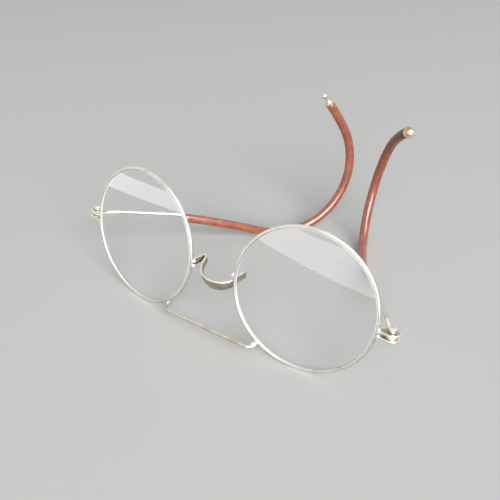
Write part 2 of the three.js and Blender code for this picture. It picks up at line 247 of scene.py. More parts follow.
lens_axes = {mount["name"]: Vector(mount["axis"]) for mount in frame["record"]["mounts"]}
eyes = {}
for name in SIDES:
    rim_low, rim_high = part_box(f"rim_{name}")
    eyes[name] = axes_at((rim_low + rim_high) / 2, lens_axes[f"lens_back_{name}"])

nickel = nickel_finish("nickel", NICKEL_POLISHED, NICKEL_DULLED, 0.45, 0.75)

rim_sizes = ("Radius", "Width", "Depth", "Groove width", "Groove depth", "Start", "Sweep")
rim_graph, rim_inputs = new_shaping(
    "grooved_rim", {**dict.fromkeys(rim_sizes, "Float"), "Steps": "Int"}
)
rim_circle = rim_graph.add("GeometryNodeCurvePrimitiveCircle", {}, {
    "Resolution": RIM_SECTION_STEPS, "Radius": 1.0,
})
across = rim_graph.add(
    "ShaderNodeSeparateXYZ", {}, {"Vector": rim_graph.add("GeometryNodeInputPosition")}
)
depthwise = across.beside("Y")
lip = (1 - (rim_inputs["Groove width"] / rim_inputs["Depth"]) ** 2) ** 0.5
from_middle = abs(depthwise) * rim_inputs["Depth"] / rim_inputs["Groove width"]
sunk = rim_graph.math("MAXIMUM", 1 - from_middle, 0)
hair = 1e-4
in_groove = rim_graph.math("LESS_THAN", across, hair - lip)
groove_floor = rim_inputs["Groove depth"] * sunk - lip * rim_inputs["Width"] / 2
outside = across * rim_inputs["Width"] / 2
rim_section = rim_graph.add("ShaderNodeCombineXYZ", {}, {
    "X": in_groove * groove_floor + (1 - in_groove) * outside,
    "Y": depthwise * rim_inputs["Depth"] / 2,
})
rim_profile = rim_graph.add(
    "GeometryNodeSetPosition", {}, {"Geometry": rim_circle, "Position": rim_section}
)
rim_path = rim_graph.add("GeometryNodeCurveArc", {"mode": "RADIUS"}, {
    "Resolution": rim_inputs["Steps"],
    "Radius": rim_inputs["Radius"],
    "Start Angle": rim_inputs["Start"],
    "Sweep Angle": rim_inputs["Sweep"],
})
rim_swept = rim_graph.add("GeometryNodeCurveToMesh", {}, {
    "Curve": rim_path, "Profile Curve": rim_profile, "Fill Caps": True,
})
close_shaping(rim_graph, rim_swept, rim_inputs["Material"])

lens_plane = Matrix.Rotation(math.radians(90), 4, "X")
for name, side in SIDES.items():
    slit_middle = math.atan2(SPLIT_HEIGHT[name], side * RIM_RADIUS)
    slit_angle = SPLIT_GAP / RIM_RADIUS
    rim = shaped(rim_graph, bpy.data.meshes.new(f"rim_{name}"), {
        "Radius": RIM_RADIUS,
        "Width": RIM_WIDTH,
        "Depth": RIM_DEPTH,
        "Groove width": GROOVE_WIDTH,
        "Groove depth": GROOVE_DEPTH,
        "Start": slit_middle + slit_angle / 2,
        "Sweep": 2 * math.pi - slit_angle,
        "Steps": RIM_STEPS,
        "Material": nickel,
    })
    rim.set_sharp_from_angle(angle=math.radians(40))
    fit(f"eye_wire_{name}", rim, eyes[name] @ lens_plane, "front", "nickel", f"rim_{name}")

# Lenses: clear ground glass, convex in front and flat behind. A bevel ground round the edge stands
# in the groove of the rim and is held there when the hinge screw closes the slit.

LENS_EDGE = 1.1
LENS_FRONT_RADIUS = {"left": 450.0, "right": 300.0}
LENS_BEVEL = 0.24
LENS_CLEAR = (0.99, 0.995, 0.993, 1)
LENS_INDEX = 1.52
LENS_RINGS = 24
SMEAR_SIZE = 9.0
SPECK_SIZE = 0.9
EDGE_FROSTED = (0.72, 0.75, 0.74, 1)
GRIND_MARK = 0.2
POLISHED_FROM = 0.9
SEAT_GAP = 0.06


def turned(name, profile, steps):
    """A mesh turned about Y from points of radius and height, closed at the axis."""
    mesh = bpy.data.meshes.new(name)
    work = bmesh.new()
    rings = []
    for radius, height in profile:
        if radius == 0:
            rings.append([work.verts.new((0, height, 0))] * steps)
            continue
        angles = [2 * math.pi * step / steps for step in range(steps)]
        points = [(radius * math.sin(angle), height, radius * math.cos(angle)) for angle in angles]
        rings.append([work.verts.new(point) for point in points])
    for ring, after in zip(rings, rings[1:]):
        for step in range(steps):
            beyond = (step + 1) % steps
            corners = [ring[step], ring[beyond], after[beyond], after[step]]
            work.faces.new(list(dict.fromkeys(corners)))
    bmesh.ops.recalc_face_normals(work, faces=work.faces)
    work.to_mesh(mesh)
    work.free()
    mesh.shade_smooth()
    return mesh


lens_glass, graph, shader = new_finish("lens_glass")
place = graph.add("ShaderNodeTexCoord", output="Object")
smears = graph.ramp(graph.cloud(place, SMEAR_SIZE, 3.0), 0.5, 0.8)
specks = graph.ramp(graph.cloud(place, SPECK_SIZE, 1.0), 0.76, 0.8)
graph.tree.links.new((0.015 + 0.03 * smears + 0.3 * specks).socket, shader.inputs["Roughness"])
shader.inputs["Base Color"].default_value = LENS_CLEAR
shader.inputs["Transmission Weight"].default_value = 1.0
shader.inputs["IOR"].default_value = LENS_INDEX
through = graph.add("ShaderNodeBsdfTransparent", {}, {"Color": LENS_CLEAR})
shadow_ray = graph.add("ShaderNodeLightPath", output="Is Shadow Ray")
lens_surface = Socket(graph, shader.outputs["BSDF"])
for straight_ray in (shadow_ray, shadow_ray.beside("Is Diffuse Ray")):
    shaders = {0: straight_ray, 1: lens_surface, 2: through}
    lens_surface = graph.add("ShaderNodeMixShader", {}, shaders)
graph.tree.links.new(lens_surface.socket, graph.tree.nodes["Material Output"].inputs["Surface"])

lens_frosted, graph, shader = new_finish("lens_frosted")
place = graph.add("ShaderNodeTexCoord", output="Object")
grinding = graph.cloud(place, GRIND_MARK, 2.0)
graph.tree.links.new((0.5 + 0.2 * grinding).socket, shader.inputs["Roughness"])
shader.inputs["Base Color"].default_value = EDGE_FROSTED

lens_edge_radius = RIM_RADIUS - RIM_WIDTH / 2 - SEAT_GAP
lens_bevel_top = RIM_RADIUS - RIM_WIDTH / 2 + GROOVE_DEPTH - 2 * SEAT_GAP
lens_edge_profile = [
    (lens_edge_radius, -LENS_BEVEL),
    (lens_bevel_top, 0),
    (lens_edge_radius, LENS_BEVEL),
    (lens_edge_radius, LENS_EDGE / 2),
    (0, LENS_EDGE / 2),
]
for name in SIDES:
    lens_flat = math.sqrt(LENS_FRONT_RADIUS[name] ** 2 - lens_edge_radius**2)
    lens_profile = []
    for ring in range(LENS_RINGS + 1):
        radius = lens_edge_radius * ring / LENS_RINGS
        crown = math.sqrt(LENS_FRONT_RADIUS[name] ** 2 - radius**2) - lens_flat
        lens_profile.append((radius, -crown - LENS_EDGE / 2))
    lens_profile += lens_edge_profile
    lens = turned(f"lens_{name}", lens_profile, RIM_STEPS)
    lens.materials.append(lens_glass)
    lens.materials.append(lens_frosted)
    for face in lens.polygons:
        face.material_index = int(abs(face.normal.y) < POLISHED_FROM)
    lens.set_sharp_from_angle(angle=math.radians(30))
    fit(f"ground_lens_{name}", lens, eyes[name], "front", "lens_glass", f"lens_{name}")

# End piece lugs: stamped nickel silver eyes with rounded edges, one soldered to each end of a rim.
# The temple tongue lies between the two, and beads of solder show where they meet the wire.

PIVOT_OUT = {"left": 4.0, "right": 3.3}
PIVOT_BACK = {"left": 2.1, "right": 1.3}
LUG_RADIUS = 2.4
LUG_NECK = 0.65
LUG_HEIGHT = 0.7
LUG_ROUNDING = 0.26
EYE_STEPS = 24
LUG_BEAD = (0.45, 0.75, 0.6)
LUG_BEAD_BACK = 0.15
BEAD_LUMPS = 0.5
LUMPS_PER_MM = 1.3
TONGUE_HEIGHT = 0.85
HINGE_GAP = 0.08
SCREW_RADIUS = 0.6
SOLDER_BRIGHT = (0.88, 0.87, 0.83, 1)
SOLDER_YELLOW = (0.72, 0.64, 0.46, 1)
WARM_POLISHED = (0.9, 0.86, 0.75, 1)
WARM_DULLED = (0.7, 0.63, 0.48, 1)
# Painted dark reflection for the flat faces of the lugs, the tongues and the saddle strip.
FLAT_PAINTED_REFLECTION = (0.3, 0.265, 0.2, 1)

warm_nickel = nickel_finish("warm_nickel", WARM_POLISHED, WARM_DULLED, 0.35, 0.7, FLAT_PAINTED_REFLECTION)
solder = nickel_finish("solder", SOLDER_BRIGHT, SOLDER_YELLOW, 0.5, 0.75)


def eye_outline(eye_radius, end_radius, length, steps):
    """Points round an eye at the origin that narrows, tangent by tangent, to a round end on +X."""
    flank = math.acos((eye_radius - end_radius) / length)
    arcs = [(0, eye_radius, flank, 2 * math.pi - flank), (length, end_radius, -flank, flank)]
    points = []
    for middle, radius, first, last in arcs:
        for step in range(steps + 1):
            angle = first + (last - first) * step / steps
            points.append((middle + radius * math.cos(angle), radius * math.sin(angle)))
    return points


def bored_plate(name, outline, bore, height, rounding):
    """A flat plate of this outline with a round hole at the origin and rounded edges."""
    mesh = bpy.data.meshes.new(name)
    work = bmesh.new()
    loops = []
    for level in (-height / 2, height / 2):
        hole = [Vector(point).normalized() * bore for point in outline]
        loops.append([work.verts.new((*point, level)) for point in outline])
        loops.append([work.verts.new((*point, level)) for point in hole])
    low_outside, low_hole, high_outside, high_hole = loops
    for step in range(len(outline)):
        beyond = (step + 1) % len(outline)
        for first, second in (
            (low_outside, low_hole),
            (low_hole, high_hole),
            (high_hole, high_outside),
            (high_outside, low_outside),
        ):
            work.faces.new([first[step], first[beyond], second[beyond], second[step]])
    bmesh.ops.recalc_face_normals(work, faces=work.faces)
    sharp_edges = [edge for edge in work.edges if edge.calc_face_angle(0) > math.radians(60)]
    outer_edges = [edge for edge in sharp_edges if edge.verts[0].co.xy.length > bore + rounding]
    bmesh.ops.bevel(
        work, geom=outer_edges, offset=rounding, segments=4, profile=0.5, affect="EDGES",
    )
    flat = work.faces.layers.float.new("flat")
    level_from = 0.99
    for face in work.faces:
        face[flat] = 1.0 if abs(face.normal.z) > level_from else 0.0
    work.to_mesh(mesh)
    work.free()
    mesh.shade_smooth()
    mesh.set_sharp_from_angle(angle=math.radians(50))
    return mesh


bead_graph, bead_inputs = new_shaping("solder_beads", {"Lumps": "Float"})
bead_points = bead_graph.add("GeometryNodeMeshToPoints", {}, {"Mesh": bead_inputs["Geometry"]})
bead_ball = bead_graph.add("GeometryNodeMeshIcoSphere", {}, {"Radius": 1.0, "Subdivisions": 4})
bead_size = bead_graph.add(
    "GeometryNodeInputNamedAttribute", {"data_type": "FLOAT_VECTOR"}, {"Name": "bead"}
)
beads_set = bead_graph.add("GeometryNodeInstanceOnPoints", {}, {
    "Points": bead_points, "Instance": bead_ball, "Scale": bead_size,
})
beads_real = bead_graph.add("GeometryNodeRealizeInstances", {}, {"Geometry": beads_set})
lumps = bead_graph.add("ShaderNodeTexNoise", {}, {"Scale": LUMPS_PER_MM, "Detail": 1.0})
lump_height = (lumps - 0.5) * bead_inputs["Lumps"]
lump_shift = bead_graph.add("ShaderNodeVectorMath", {"operation": "SCALE"}, {
    "Vector": bead_graph.add("GeometryNodeInputNormal"), "Scale": lump_height,
})
beads_lumpy = bead_graph.add("GeometryNodeSetPosition", {}, {
    "Geometry": beads_real, "Offset": lump_shift,
})
close_shaping(bead_graph, beads_lumpy, bead_inputs["Material"])


def run_solder(name, beads):
    """Beads of solder, each at a point in metres with its three half sizes in millimetres."""
    spots = bpy.data.meshes.new(name)
    spots.from_pydata([point / MM for point, _ in beads], [], [])
    sizes = [size for _, bead in beads for size in bead]
    spots.attributes.new("bead", "FLOAT_VECTOR", "POINT").data.foreach_set("vector", sizes)
    mesh = shaped(bead_graph, spots, {"Lumps": BEAD_LUMPS, "Material": solder})
    fit(name, mesh, Matrix.Scale(MM, 4), "front", "warm_nickel")


lug_level = TONGUE_HEIGHT / 2 + HINGE_GAP + LUG_HEIGHT / 2
screw_bore = SCREW_RADIUS + HINGE_GAP
lug_beads = []
pivots = {}
for name, side in SIDES.items():
    pivot_radius = RIM_RADIUS + RIM_WIDTH / 2 + PIVOT_OUT[name]
    pivots[name] = Matrix.Translation((side * pivot_radius, PIVOT_BACK[name], SPLIT_HEIGHT[name]))
    to_rim = math.atan2(-PIVOT_BACK[name], side * (RIM_RADIUS - pivot_radius))
    lug_reach = math.hypot(pivot_radius - RIM_RADIUS, PIVOT_BACK[name])
    for tier, level in (("upper", lug_level), ("lower", -lug_level)):
        lug_length = lug_reach - RIM_WIDTH / 2 - LUG_NECK / 2
        outline = eye_outline(LUG_RADIUS, LUG_NECK, lug_length, EYE_STEPS)
        lug = bored_plate(f"lug_{tier}_{name}", outline, screw_bore, LUG_HEIGHT, LUG_ROUNDING)
        lug.materials.append(warm_nickel)
        turn = Matrix.Rotation(to_rim, 4, "Z")
        lug_place = eyes[name] @ pivots[name] @ Matrix.Translation((0, 0, level)) @ turn
        node = f"lug_{tier}_{name}"
        fit(f"end_piece_{tier}_{name}", lug, lug_place, "front", "warm_nickel", node)
        seam_x = side * (RIM_RADIUS + RIM_WIDTH / 2)
        seam = Vector((seam_x, LUG_BEAD_BACK, SPLIT_HEIGHT[name] + level))
        lug_beads.append((eyes[name] @ seam, LUG_BEAD))
run_solder("lug_solder", lug_beads)

# Hinge screws: turned nickel silver with a slotted dome head. Each goes through both lugs and the
# tongue, so it closes the rim on its lens and is also the pin on which the temple folds.

HEAD_RADIUS = 1.2
HEAD_WALL = 0.95
HEAD_DOME = 0.5
HEAD_EDGE = 0.08
SCREW_TAIL = 0.25
SCREW_CHAMFER = 0.1
SCREW_STEPS = 48
DOME_STEPS = 12
SLOT_WIDTH = 0.28
SLOT_DEPTH = 0.32
SLOT_TURN = {"left": 70, "right": 13}

screw_top = lug_level + LUG_HEIGHT / 2 + HINGE_GAP
screw_end = -lug_level - LUG_HEIGHT / 2 - SCREW_TAIL
screw_profile = [
    (0, screw_end),
    (SCREW_RADIUS - SCREW_CHAMFER, screw_end),
    (SCREW_RADIUS, screw_end + SCREW_CHAMFER),
    (SCREW_RADIUS, screw_top),
    (HEAD_RADIUS - HEAD_EDGE, screw_top),
    (HEAD_RADIUS, screw_top + HEAD_EDGE),
]
for step in range(DOME_STEPS + 1):
    angle = math.radians(90) * step / DOME_STEPS
    radius = HEAD_RADIUS * math.cos(angle) if step < DOME_STEPS else 0
    screw_profile.append((radius, screw_top + HEAD_WALL + HEAD_DOME * math.sin(angle)))


def slotted(mesh, turn):
    """The screw with a straight slot cut across the top of its head."""
    blade = bmesh.new()
    bmesh.ops.create_cube(blade, size=1)
    bmesh.ops.scale(blade, verts=blade.verts, vec=(4 * HEAD_RADIUS, 2 * SLOT_DEPTH, SLOT_WIDTH))
    bmesh.ops.translate(blade, verts=blade.verts, vec=(0, screw_top + HEAD_WALL + HEAD_DOME, 0))
    bmesh.ops.rotate(blade, verts=blade.verts, matrix=Matrix.Rotation(math.radians(turn), 3, "Y"))
    blade_mesh = bpy.data.meshes.new("slot_blade")
    blade.to_mesh(blade_mesh)
    blade.free()
    cutter = bpy.data.objects.new("slot_blade", blade_mesh)
    carrier = bpy.data.objects.new("screw_blank", mesh)
    for work in (cutter, carrier):
        bpy.context.scene.collection.objects.link(work)
    cut = carrier.modifiers.new("slot", "BOOLEAN")
    cut.object = cutter
    cut.solver = "EXACT"
    depsgraph = bpy.context.evaluated_depsgraph_get()
    result = bpy.data.meshes.new_from_object(carrier.evaluated_get(depsgraph), depsgraph=depsgraph)
    bpy.data.objects.remove(carrier)
    bpy.data.objects.remove(cutter)
    return result


screw_upright = Matrix.Rotation(math.radians(90), 4, "X")
for name in SIDES:
    screw = slotted(turned(f"screw_{name}", screw_profile, SCREW_STEPS), SLOT_TURN[name])
    screw.materials.clear()
    screw.materials.append(nickel)
    screw.set_sharp_from_angle(angle=math.radians(35))
    screw_place = eyes[name] @ pivots[name] @ screw_upright
    fit(f"slotted_screw_{name}", screw, screw_place, "front", "nickel", f"hinge_screw_{name}")

# Saddle bridge: one strip of nickel silver, annealed and bent. A foot is soldered behind each rim.
# From it the strip runs back, turns over in a tight fold and comes forward round the nose, where it
# is tipped and widest.

LENS_DISTANCE = 61.4
FACE_FORM = 6.9
SADDLE_THICKNESS = 0.75
SADDLE_WIDTH = 4.2
FOOT_WIDTH = 2.3
FOOT_HEIGHT = -1.0
LEG_HEIGHT = -1.6
LEG_BACK = 3.3
FOLD_RADIUS = 0.55
CREST_FORWARD = 2.9
CREST_HEIGHT = -5.2
FOOT_BEAD = (0.75, 0.7, 0.6)
# Each bead: how far it has run towards the nose, and its height from the middle of the foot.
FOOT_BEAD_RUNS = {"left": [(0.5, -0.75), (0.5, 0.75)], "right": [(0, -1.15), (0.85, 1.75)]}
FOOT_BEAD_SLANT = 0.35

front_middle = (eyes["left"].translation + eyes["right"].translation) / 2
front = axes_at(front_middle, upright.cross(Vector((1, 0, 0))))
face_form = math.radians(FACE_FORM)
foot_x = LENS_DISTANCE / 2 - RIM_RADIUS * math.cos(face_form)
rim_back = RIM_DEPTH / 2 - RIM_RADIUS * math.sin(face_form)


def saddle_stations():
    """Middle, tilt and width of the strip, from its left foot over the crest to its right foot."""
    leg_x = foot_x - 2 * FOLD_RADIUS
    slope = math.atan2(LEG_HEIGHT - CREST_HEIGHT, LEG_BACK + CREST_FORWARD)
    stations = []
    arch_steps = 40
    for step in range(arch_steps):
        angle = math.radians(90) * step / arch_steps
        rise = math.cos(angle)
        y = LEG_BACK - (LEG_BACK + CREST_FORWARD) * rise
        z = LEG_HEIGHT + (CREST_HEIGHT - LEG_HEIGHT) * rise
        width = FOOT_WIDTH + (SADDLE_WIDTH - FOOT_WIDTH) * rise**2
        stations.append((Vector((leg_x * math.sin(angle), y, z)), slope, width))
    fold_steps = 20
    for step in range(fold_steps + 1):
        share = step / fold_steps
        x = leg_x + FOLD_RADIUS * (1 - math.cos(math.pi * share))
        y = LEG_BACK + FOLD_RADIUS * math.sin(math.pi * share)
        z = LEG_HEIGHT + (FOOT_HEIGHT - LEG_HEIGHT) * share
        stations.append((Vector((x, y, z)), slope * (1 - share), FOOT_WIDTH))
    foot_start = stations[-1][0]
    foot_steps = 10
    for step in range(1, foot_steps + 1):
        foot_end = Vector((foot_x, rim_back + SEAT_GAP, FOOT_HEIGHT))
        stations.append((foot_start.lerp(foot_end, step / foot_steps), 0, FOOT_WIDTH))
    mirrored = [
        (Vector((-middle.x, middle.y, middle.z)), tilt, width)
        for middle, tilt, width in reversed(stations[1:])
    ]
    return mirrored + stations


def bent_strip(name, stations, thickness):
    """A closed strip with rounded edges through a row of stations."""
    section_points = 28
    squareness = 0.5
    edge_from = 0.75
    mesh = bpy.data.meshes.new(name)
    work = bmesh.new()
    flat_share = work.verts.layers.float.new("flat")
    rings = []
    for index, (middle, tilt, width) in enumerate(stations):
        before = stations[max(index - 1, 0)][0]
        after = stations[min(index + 1, len(stations) - 1)][0]
        along = (after - before).normalized()
        broad = Vector((0, -math.sin(tilt), math.cos(tilt)))
        flat = broad.cross(along).normalized()
        broad = along.cross(flat)
        ring = []
        for point in range(section_points):
            angle = 2 * math.pi * point / section_points
            thin = math.copysign(abs(math.cos(angle)) ** squareness, math.cos(angle))
            wide = math.copysign(abs(math.sin(angle)) ** squareness, math.sin(angle))
            corner = work.verts.new(middle + flat * thin * thickness / 2 + broad * wide * width / 2)
            corner[flat_share] = 1 - max(0, abs(wide) - edge_from) / (1 - edge_from)
            ring.append(corner)
        rings.append(ring)
    for ring, beyond in zip(rings, rings[1:]):
        for point in range(section_points):
            after = (point + 1) % section_points
            work.faces.new([ring[point], ring[after], beyond[after], beyond[point]])
    work.faces.new(rings[0])
    work.faces.new(rings[-1])
    bmesh.ops.recalc_face_normals(work, faces=work.faces)
    work.to_mesh(mesh)
    work.free()
    mesh.shade_smooth()
    mesh.set_sharp_from_angle(angle=math.radians(50))
    return mesh


saddle = bent_strip("saddle", saddle_stations(), SADDLE_THICKNESS)
saddle.materials.append(warm_nickel)
fit("saddle_strip", saddle, front, "front", "warm_nickel", "saddle_bridge")
foot_beads = []
for name, side in SIDES.items():
    for run, height in FOOT_BEAD_RUNS[name]:
        run_y = rim_back - run * FOOT_BEAD_SLANT
        seam = Vector((side * (foot_x - run), run_y, FOOT_HEIGHT + height))
        foot_beads.append((front @ seam, FOOT_BEAD))
run_solder("foot_solder", foot_beads)

# Brow bar: a drawn nickel silver wire that stands in front of both rims and guards them when the
# glasses are put down. Its ends are bent back and soldered beside the rims, low on the nose side.

BROW_WIRE = 0.56
BROW_SEAT = 34.5
BROW_HALF = {"left": 16.3, "right": 17.4}
BROW_FORWARD = 5.3
BROW_BEND = 1.8
BROW_TAIL = 1.1
BROW_TAPER = {"left": 0.72, "right": 0.95}
BROW_BEAD = {"left": (0.4, 0.6, 0.4), "right": (1.0, 1.9, 0.95)}
BEAD_FORWARD = {"left": 0.0, "right": 1.2}
BEAD_OUT = 0.2
BEAD_UP = 0.3
BAR_SIDES = 24
BAR_POLISHED = (0.66, 0.62, 0.52, 1)
BAR_DULLED = (0.46, 0.42, 0.32, 1)

wire_graph, wire_inputs = new_shaping("drawn_wire", {"Sides": "Int"})
wire_line = wire_graph.add("GeometryNodeMeshToCurve", {}, {"Mesh": wire_inputs["Geometry"]})
girth = wire_graph.add("GeometryNodeInputNamedAttribute", {"data_type": "FLOAT"}, {"Name": "girth"})
wire_section = wire_graph.add("GeometryNodeCurvePrimitiveCircle", {}, {
    "Resolution": wire_inputs["Sides"], "Radius": 1.0,
})
wire_swept = wire_graph.add("GeometryNodeCurveToMesh", {}, {
    "Curve": wire_line, "Profile Curve": wire_section, "Scale": girth, "Fill Caps": True,
})
close_shaping(wire_graph, wire_swept, wire_inputs["Material"])


def drawn_wire(name, points, sides, material, **marks):
    """A round wire through points; each mark, such as its girth, has a value at each point."""
    line = bpy.data.meshes.new(name)
    line.from_pydata(points, [(index, index + 1) for index in range(len(points) - 1)], [])
    for mark, values in marks.items():
        line.attributes.new(mark, "FLOAT", "POINT").data.foreach_set("value", values)
    wire = shaped(wire_graph, line, {"Sides": sides, "Material": material})
    wire.set_sharp_from_angle(angle=math.radians(60))
    return wire


brow_seat = math.radians(BROW_SEAT)
brow_radius = RIM_RADIUS + RIM_WIDTH / 2 + SEAT_GAP + BROW_WIRE
brow_level = -brow_radius * math.cos(brow_seat)
brow_leg_x = LENS_DISTANCE / 2 - brow_radius * math.sin(brow_seat) * math.cos(face_form)
brow_leg_y = BROW_TAIL - brow_radius * math.sin(brow_seat) * math.sin(face_form)
brow_points = []
brow_radii = []
leg_steps = 8
bend_steps = 12
for name, side in SIDES.items():
    tail = Vector((side * brow_leg_x, brow_leg_y, brow_level))
    corner = Vector((side * BROW_HALF[name], -BROW_FORWARD, brow_level))
    on_leg = corner + (tail - corner).normalized() * BROW_BEND
    on_bar = corner - Vector((side * BROW_BEND, 0, 0))
    half = [tail.lerp(on_leg, step / leg_steps) for step in range(leg_steps)]
    radii = [
        BROW_WIRE * (BROW_TAPER[name] + (1 - BROW_TAPER[name]) * step / leg_steps)
        for step in range(leg_steps)
    ]
    for step in range(bend_steps + 1):
        share = step / bend_steps
        half.append(on_leg.lerp(corner, share).lerp(corner.lerp(on_bar, share), share))
        radii.append(BROW_WIRE)
    brow_points += half if name == "left" else half[::-1]
    brow_radii += radii if name == "left" else radii[::-1]
bar_nickel = nickel_finish("bar_nickel", BAR_POLISHED, BAR_DULLED, 0.42, 0.72)
brow_bar = drawn_wire("brow_bar", brow_points, BAR_SIDES, bar_nickel, girth=brow_radii)
fit("brow_guard", brow_bar, front, "front", "nickel", "brow_bar")
bar_beads = []
for name, side in SIDES.items():
    bead_y = brow_leg_y - BROW_TAIL - BEAD_FORWARD[name]
    seam = Vector((side * (brow_leg_x + BEAD_OUT), bead_y, brow_level + BEAD_UP))
    bar_beads.append((front @ seam, BROW_BEAD[name]))
run_solder("bar_solder", bar_beads)

# Temple joints: tongue and butt forged in one from nickel silver. The tongue turns on the hinge
# screw between the lugs, and the butt is drilled for the end of the temple wire and soldered to it.

TONGUE_RADIUS = 1.9
TONGUE_NECK = 0.55
TONGUE_ROUNDING = 0.2
BUTT_START = 3.6
BUTT_END = 8.7
BUTT_RADIUS = 0.64
BUTT_ROOT = 0.3
BUTT_ROOT_EDGE = 0.12
BUTT_SWELL = 0.05
BUTT_MOUTH = {"start": 0.35, "edge": 0.15, "draw": 0.03}
BUTT_STEPS = 32
WIRE_RADIUS = 0.54
FOLD = {"left": 38.7, "right": 32.4}

hinge_places = {}
for name, side in SIDES.items():
    pivot = Vector(hinges[f"{name}_temple"]["pos_m"])
    fold = Matrix.Rotation(side * math.radians(FOLD[name]), 4, "Z")
    hinge_places[name] = axes_at(pivot, upright.cross(Vector((1, 0, 0)))) @ fold
    outline = eye_outline(TONGUE_RADIUS, TONGUE_NECK, BUTT_START + BUTT_RADIUS, EYE_STEPS)
    tongue = bored_plate(f"tongue_{name}", outline, screw_bore, TONGUE_HEIGHT, TONGUE_ROUNDING)
    tongue.transform(Matrix.Rotation(math.radians(90), 4, "Z"))
    butt = turned(f"butt_{name}", [
        (0, BUTT_START - BUTT_ROOT),
        (TONGUE_HEIGHT / 2 - BUTT_ROOT_EDGE, BUTT_START - BUTT_ROOT * 2 / 3),
        (TONGUE_HEIGHT / 2, BUTT_START),
        (BUTT_RADIUS - BUTT_SWELL, BUTT_START + BUTT_RADIUS),
        (BUTT_RADIUS, BUTT_START + 2 * BUTT_RADIUS),
        (BUTT_RADIUS, BUTT_END - BUTT_MOUTH["start"]),
        (BUTT_RADIUS - BUTT_MOUTH["draw"], BUTT_END - BUTT_MOUTH["edge"]),
        (WIRE_RADIUS, BUTT_END),
        (0, BUTT_END),
    ], BUTT_STEPS)
    joint = bpy.data.meshes.new(f"joint_{name}")
    work = bmesh.new()
    work.from_mesh(tongue)
    work.from_mesh(butt)
    work.to_mesh(joint)
    work.free()
    joint.materials.append(warm_nickel)
    joint.set_sharp_from_angle(angle=math.radians(50))
    node = f"temple_joint_{name}"
    fit(f"forged_joint_{name}", joint, hinge_places[name], f"{name}_temple", "warm_nickel", node)

# Temple wires: springy nickel silver cable core, soldered into the butt, bowed very slightly and
# bent by hand into a long hook for the ear. It shows bare near the hinge and at the very tip.

BOW_LENGTH = {"left": 53.9, "right": 48.6}
BOW_RADIUS = {"left": 351.0, "right": 4000.0}
HOOK_LENGTH = {"left": 64.0, "right": 66.9}
HOOK_RADIUS = {"left": 26.6, "right": 24.0}
TIP_LENGTH = {"left": 11.4, "right": 17.5}
TIP_RADIUS = {"left": 82.0, "right": 73.0}
HOOK_LEAN = {"left": 2.4, "right": 6.8}
COVER_RADIUS = 1.65
FERRULE_LENGTH = 1.3
TIP_WIRE = 0.5
WIRE_SPACING = 1.0
WIRE_SIDES = 24
LOWEST_SPACING = 0.25
SETTLING_PASSES = 12


def temple_point(name, distance):
    """The point of a temple's line at this distance from the butt, and its direction."""
    y = z = heading = 0.0
    stretches = (
        (BOW_LENGTH[name], -1 / BOW_RADIUS[name]),
        (HOOK_LENGTH[name], 1 / HOOK_RADIUS[name]),
        (math.inf, 1 / TIP_RADIUS[name]),
    )
    for length, bend in stretches:
        stretch = min(distance, length)
        turned_to = heading + bend * stretch
        y += (math.sin(turned_to) - math.sin(heading)) / bend
        z += (math.cos(heading) - math.cos(turned_to)) / bend
        heading = turned_to
        distance -= stretch
    return Vector((0, y, z)), Vector((0, math.cos(heading), math.sin(heading)))


def temple_line(name, first, last, spacing):
    """Points of a temple's line from one distance to another."""
    steps = math.ceil((last - first) / spacing)
    distances = [first + (last - first) * step / steps for step in range(steps + 1)]
    return [temple_point(name, distance)[0] for distance in distances]


arms = {}
cover_ends = {}
wire_ends = {}
for name, side in SIDES.items():
    hook_start, hook_length = BOW_LENGTH[name], HOOK_LENGTH[name]
    cover_ends[name] = hook_start + hook_length + TIP_LENGTH[name]
    low_points = temple_line(name, hook_start, hook_start + hook_length / 2, LOWEST_SPACING)
    droop = 0.0
    for _ in range(SETTLING_PASSES):
        arms[name] = (
            hinge_places[name]
            @ Matrix.Translation((0, BUTT_END + SEAT_GAP, 0))
            @ Matrix.Rotation(droop, 4, "X")
            @ Matrix.Rotation(side * math.radians(HOOK_LEAN[name]), 4, "Y")
        )
        lowest = min((arms[name] @ point).z for point in low_points) - COVER_RADIUS * MM
        droop -= lowest / MM / (hook_start + HOOK_RADIUS[name])
    wire_ends[name] = cover_ends[name] + SEAT_GAP + FERRULE_LENGTH + TIP_WIRE
    line = temple_line(name, 0, wire_ends[name], WIRE_SPACING)
    node = f"temple_wire_{name}"
    wire = drawn_wire(node, line, WIRE_SIDES, nickel, girth=[WIRE_RADIUS] * len(line))
    fit(f"cable_core_{name}", wire, arms[name], f"{name}_temple", "nickel", node)

# Temple covers: a glossy rust-red sheath drawn over the cable so that the hook is soft behind the
# ear. It starts a little behind the hinge and is held at the tip by the ferrule. Towards the tip it
# loses gloss and is painted darker brown as shade, strongly on the right cover.

COVER_START = 22.5
COVER_END_ROUNDING = 0.35
COVER_LIP = {"left": 1.2, "right": 0.0}
COVER_DRAWN = {"length": 2.4, "radius": 0.8}
COVER_SPACING = 0.6
COVER_SIDES = 32
# How strongly each cover is painted darker brown as shade towards its tip, where it also loses
# gloss.
TIP_WEAR_AND_SHADE = {"left": 0.15, "right": 0.95}
TIP_WEAR_AND_SHADE_FADE = 3
COVER_RED = (0.255, 0.055, 0.024, 1)
COVER_ORANGE = (0.33, 0.09, 0.036, 1)
COVER_STAIN_AND_SHADE = (0.06, 0.015, 0.009, 1)
MOTTLE_SIZE = 2.2
STAIN_SIZE = 9.0
STAIN_SHARE = 0.35
GRAIN_SIZE = 0.5
RIPPLE_DEPTH = 0.04

